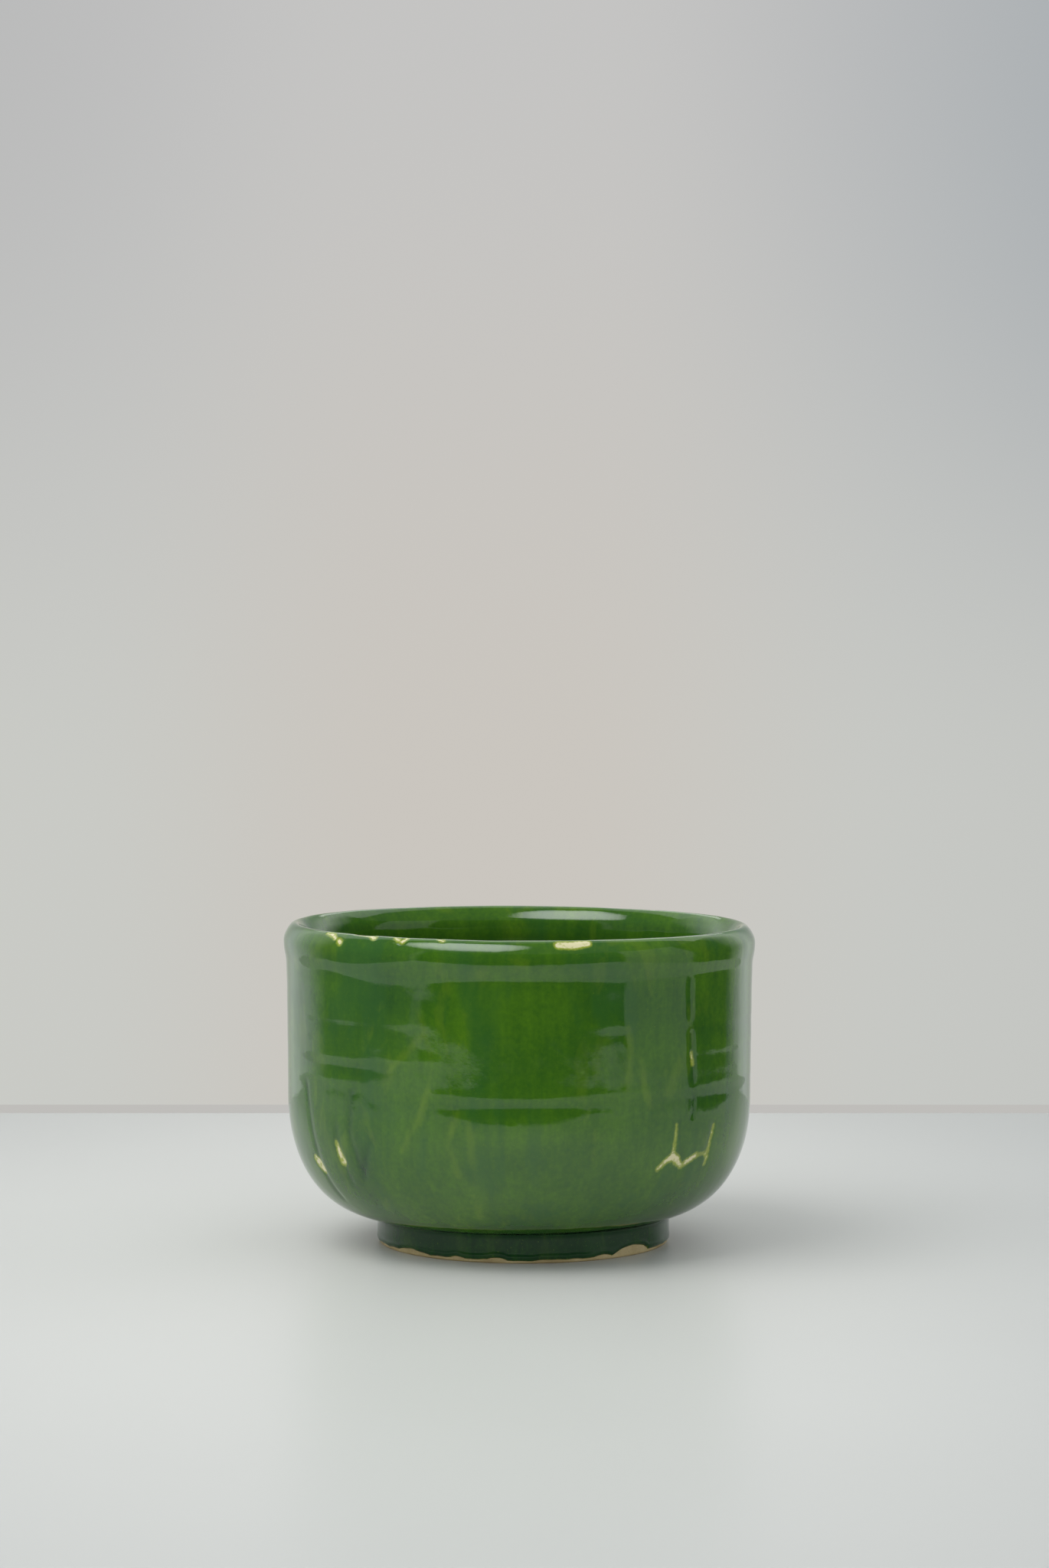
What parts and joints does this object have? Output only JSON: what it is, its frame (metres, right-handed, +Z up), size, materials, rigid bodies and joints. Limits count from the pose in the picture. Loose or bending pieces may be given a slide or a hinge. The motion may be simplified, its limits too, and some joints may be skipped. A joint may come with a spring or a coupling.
{
  "type": "matcha bowl",
  "caption": "Round-bellied tea bowl with a rolled lip and upright wall on a ring foot, in glossy green glaze, for whisking and drinking powdered tea.",
  "frame": {"origin": "on the standing plane, directly under the middle of the bowl", "axes": "+Z up through the middle of the bowl; -Y is the face shown in the picture; +X is that face's right"},
  "size_m": [0.12, 0.12, 0.0814],
  "materials": {
    "fired_clay": "matte, fine-grained, bare",
    "green_glaze": "high gloss, streaked copper green, paler where it runs thin"
  },
  "bodies": {
    "root": {"clay_body": "fired_clay", "foot_ring": "fired_clay", "outer_glaze": "green_glaze", "inner_glaze": "green_glaze", "foot_glaze": "green_glaze", "recess_glaze": "green_glaze"}
  },
  "joints": []
}
